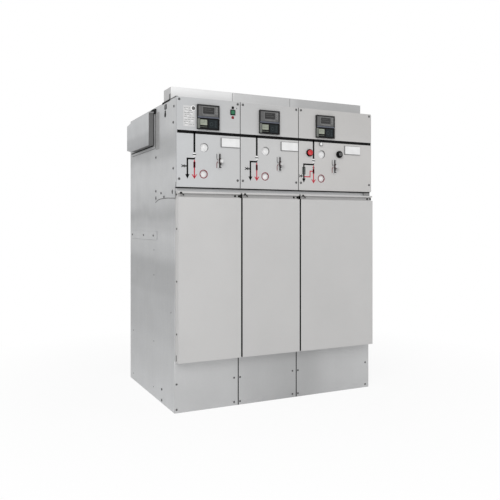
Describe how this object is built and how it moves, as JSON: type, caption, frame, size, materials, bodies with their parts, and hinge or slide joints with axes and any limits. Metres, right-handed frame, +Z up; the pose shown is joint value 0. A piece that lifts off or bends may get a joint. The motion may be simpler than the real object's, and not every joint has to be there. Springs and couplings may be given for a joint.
{
  "type": "compact switchgear",
  "caption": "Floor-standing compact switchgear block: joined panels with instruments, lever sockets and push buttons above removable cable compartment covers, and a wireway on the roof.",
  "frame": {"origin": "on the floor, at the centre of the four floor-fixing holes", "axes": "+Z up, the front faces -Y, +X to the right of someone facing the front"},
  "size_m": [1.083, 0.775, 1.46],
  "materials": {
    "cover_paint": "light grey powder coat, fine texture, satin",
    "galvanised_sheet": "aluminium-zinc coated sheet, fine spangle, satin",
    "end_cover_sheet": "aluminium-zinc coated sheet, fine spangle, satin",
    "stainless_steel": "stainless sheet, rolled finish",
    "housing_plastic": "dark grey moulded plastic, fine texture",
    "black_plastic": "black moulded plastic, fine texture",
    "white_plastic": "white moulded plastic, smooth",
    "label_white": "white card behind clear film, blank",
    "knob_plastic": "black moulded plastic with a light grey tip",
    "red_plastic": "signal red moulded plastic, smooth",
    "mimic_black": "black printed film",
    "mimic_red": "red printed film",
    "display": "liquid crystal display behind a clear window",
    "screw_zinc": "zinc-plated steel",
    "grey_plastic": "mid-grey moulded plastic, fine texture",
    "light_grey_plastic": "light grey moulded plastic, fine texture",
    "green_lens": "green moulded lens, smooth",
    "lcd": "grey-green liquid crystal display",
    "black_rubber": "black rubber seal",
    "rim_paint": "dark grey powder coat, satin"
  },
  "bodies": {
    "cabinet": {"left_side_wall": "galvanised_sheet", "right_side_wall": "galvanised_sheet", "rear_wall": "galvanised_sheet", "roof": "galvanised_sheet", "floor_frame": "galvanised_sheet", "front_rails": "galvanised_sheet", "front_posts": "galvanised_sheet", "partitions": "galvanised_sheet", "gas_vessel": "stainless_steel", "plinth_cover_1": "galvanised_sheet", "plinth_cover_2": "galvanised_sheet", "plinth_cover_3": "galvanised_sheet", "cable_cover_1": "cover_paint", "cable_cover_2": "cover_paint", "cable_cover_3": "cover_paint", "front_plate_1": "cover_paint", "front_plate_2": "cover_paint", "front_plate_3": "cover_paint", "wireway_channel": "cover_paint", "wireway_lids": "cover_paint", "end_cover_flange": "galvanised_sheet", "end_cover": "end_cover_sheet", "side_strips": "galvanised_sheet", "fault_indicator_1": "housing_plastic", "fault_indicator_2": "housing_plastic", "fault_indicator_3": "housing_plastic", "voltage_detector_1": "black_plastic", "voltage_detector_2": "black_plastic", "voltage_detector_3": "black_plastic", "lever_sockets_1": "white_plastic", "lever_sockets_2": "white_plastic", "lever_sockets_3": "white_plastic", "position_indicators": "white_plastic", "label_holders": "label_white", "nameplate": "label_white", "pressure_indicator": "black_plastic", "trip_indicator": "white_plastic", "gate_guides": "light_grey_plastic", "button_collars": "black_plastic"},
    "gate_knob_1": {"gate_knob_1": "knob_plastic"},
    "gate_knob_2": {"gate_knob_2": "knob_plastic"},
    "gate_knob_3": {"gate_knob_3": "knob_plastic"},
    "red_button": {"red_button": "red_plastic"},
    "black_button": {"black_button": "black_plastic"}
  },
  "joints": [
    {"name": "gate_slide_1", "type": "slide", "parent": "cabinet", "child": "gate_knob_1", "axis": [0, 0, 1], "range_m": [-0.025, 0.025]},
    {"name": "gate_slide_2", "type": "slide", "parent": "cabinet", "child": "gate_knob_2", "axis": [0, 0, 1], "range_m": [-0.025, 0.025]},
    {"name": "gate_slide_3", "type": "slide", "parent": "cabinet", "child": "gate_knob_3", "axis": [0, 0, 1], "range_m": [-0.025, 0.025]},
    {"name": "red_button_press", "type": "slide", "parent": "cabinet", "child": "red_button", "axis": [0, 1, 0], "range_m": [0, 0.006], "stiffness_N_per_m": 300, "springref_m": -0.003},
    {"name": "black_button_press", "type": "slide", "parent": "cabinet", "child": "black_button", "axis": [0, 1, 0], "range_m": [0, 0.006], "stiffness_N_per_m": 300, "springref_m": -0.003}
  ]
}
